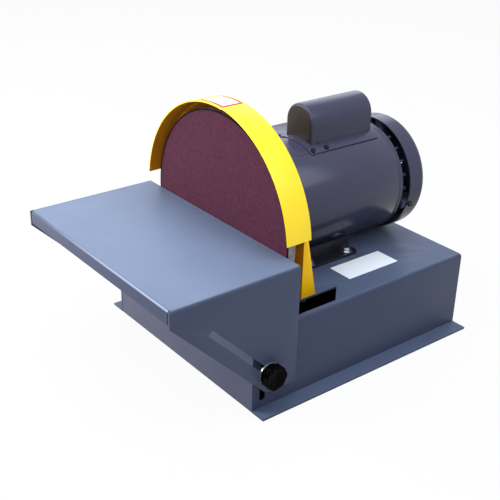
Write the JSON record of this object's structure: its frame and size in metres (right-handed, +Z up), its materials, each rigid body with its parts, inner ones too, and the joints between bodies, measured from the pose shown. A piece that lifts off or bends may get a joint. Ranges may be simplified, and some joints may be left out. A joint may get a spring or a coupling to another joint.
{
  "type": "benchtop disc sander",
  "caption": "Benchtop disc sander: a motor-driven abrasive disc under a half-ring guard, with a folded work table that tilts and slides on slotted cheeks clamped by knobs.",
  "frame": {"origin": "on the bench, in the middle of the machine's width and depth", "axes": "+X to the operator's right, +Y from the table towards the motor, +Z up"},
  "size_m": [0.3976, 0.546, 0.3804],
  "materials": {
    "base_grey": "semi-gloss grey enamel",
    "table_grey": "semi-gloss grey enamel",
    "guard_yellow": "gloss yellow enamel",
    "motor_grey": "semi-gloss charcoal enamel",
    "zinc": "bright zinc plate",
    "bare_steel": "machined",
    "black_steel": "black oxide",
    "copper_wire": "enamelled wire",
    "brass": "machined",
    "disc_alloy": "turned",
    "abrasive": "aluminium oxide cloth",
    "black_plastic": "moulded",
    "knob_black": "moulded phenolic"
  },
  "bodies": {
    "base": {"base_shell": "base_grey", "front_panel": "base_grey", "rear_panel": "base_grey", "guard_band": "guard_yellow", "guard_back": "guard_yellow", "guard_bolts": "zinc", "guard_nuts": "zinc", "motor_foot": "motor_grey", "foot_washers": "zinc", "foot_bolts": "zinc", "foot_nuts": "zinc", "motor_shell": "motor_grey", "front_bell": "motor_grey", "rear_bell": "motor_grey", "through_bolts": "zinc", "stator_core": "bare_steel", "stator_windings": "copper_wire", "start_switch": "brass", "wave_washer": "bare_steel", "bearing_outer_races": "bare_steel", "bearing_balls": "bare_steel", "fan_cover": "motor_grey", "fan_cover_screws": "zinc", "capacitor_cover": "motor_grey", "start_capacitor": "black_plastic", "capacitor_screws": "black_steel", "conduit_box": "motor_grey", "conduit_cover": "motor_grey", "conduit_screws": "zinc", "cord_gland": "black_plastic", "switch_body": "black_plastic"},
    "spindle": {"motor_shaft": "bare_steel", "rotor_core": "bare_steel", "governor": "black_plastic", "cooling_fan": "black_plastic", "bearing_inner_races": "bare_steel", "disc_plate": "disc_alloy", "abrasive_disc": "abrasive", "shaft_key": "bare_steel", "hub_set_screws": "black_steel"},
    "clamp": {"clamp_bolts": "zinc", "clamp_spacers": "zinc"},
    "bushes": {"slot_bushes": "bare_steel"},
    "table": {"table": "table_grey"},
    "right_washer": {"right_washer": "zinc"},
    "right_knob": {"right_knob": "knob_black", "right_knob_insert": "brass"},
    "left_washer": {"left_washer": "zinc"},
    "left_knob": {"left_knob": "knob_black", "left_knob_insert": "brass"},
    "switch_lever": {"switch_toggle": "bare_steel"}
  },
  "joints": [
    {"name": "spindle_spin", "type": "hinge", "parent": "base", "child": "spindle", "pos_m": [0, 0, 0.214], "axis": [0, 1, 0], "continuous": true},
    {"name": "clamp_height", "type": "slide", "parent": "base", "child": "clamp", "axis": [0, 0, 1], "range_m": [-0.008, 0]},
    {"name": "table_tilt", "type": "hinge", "parent": "clamp", "child": "bushes", "pos_m": [0, -0.118, 0.0635], "axis": [1, 0, 0], "range_deg": [0, 45]},
    {"name": "table_reach", "type": "slide", "parent": "bushes", "child": "table", "axis": [0, 0.7071, -0.7071], "range_m": [0, 0.1145]},
    {"name": "right_knob_backoff", "type": "slide", "parent": "clamp", "child": "right_washer", "axis": [1, 0, 0], "range_m": [0, 0.0009]},
    {"name": "right_knob_turn", "type": "hinge", "parent": "right_washer", "child": "right_knob", "pos_m": [0, -0.118, 0.0635], "axis": [1, 0, 0], "range_deg": [0, 359]},
    {"name": "left_knob_backoff", "type": "slide", "parent": "clamp", "child": "left_washer", "axis": [-1, 0, 0], "range_m": [0, 0.0009]},
    {"name": "left_knob_turn", "type": "hinge", "parent": "left_washer", "child": "left_knob", "pos_m": [0, -0.118, 0.0635], "axis": [-1, 0, 0], "range_deg": [0, 359]},
    {"name": "switch_throw", "type": "hinge", "parent": "base", "child": "switch_lever", "pos_m": [-0.1346, 0.1261, 0.2435], "axis": [0, 1, 0], "range_deg": [0, 30]}
  ],
  "couplings": [
    {"joint": "table_reach", "follows": "table_tilt", "m_per_rad": 0.14515},
    {"joint": "right_knob_turn", "follows": "right_knob_backoff", "rad_per_m": 6283.2},
    {"joint": "left_knob_turn", "follows": "left_knob_backoff", "rad_per_m": 6283.2}
  ]
}
